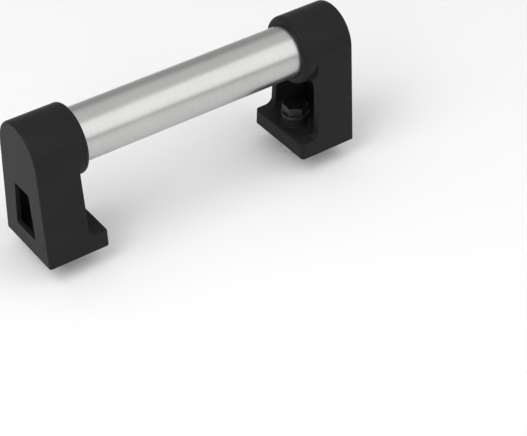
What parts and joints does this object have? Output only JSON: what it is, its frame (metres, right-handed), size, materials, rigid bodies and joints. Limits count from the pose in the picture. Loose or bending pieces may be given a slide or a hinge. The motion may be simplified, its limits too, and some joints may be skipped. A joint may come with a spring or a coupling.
{
  "type": "tube handle",
  "caption": "Bow handle with a round satin steel tube between two hollow moulded legs, bolted through their feet from inside.",
  "frame": {"origin": "on the mounting plane, midway between the axes of the two bolts", "axes": "+X along the tube towards the right leg, -Y towards the operator, +Z from the panel towards the tube"},
  "size_m": [0.1998, 0.0466, 0.0903],
  "materials": {
    "tube": "satin, finely ground round the tube",
    "legs": "fine moulded grain",
    "bolts": "blackened",
    "head_washers": "blackened, stamped",
    "foot_washers": "zinc plated, stamped",
    "nuts": "zinc plated"
  },
  "bodies": {
    "root": {"grip_tube": "tube", "left_leg": "legs", "right_leg": "legs", "left_bolt": "bolts", "right_bolt": "bolts", "left_head_washer": "head_washers", "right_head_washer": "head_washers", "left_foot_washer": "foot_washers", "right_foot_washer": "foot_washers", "left_nut": "nuts", "right_nut": "nuts"}
  },
  "joints": []
}
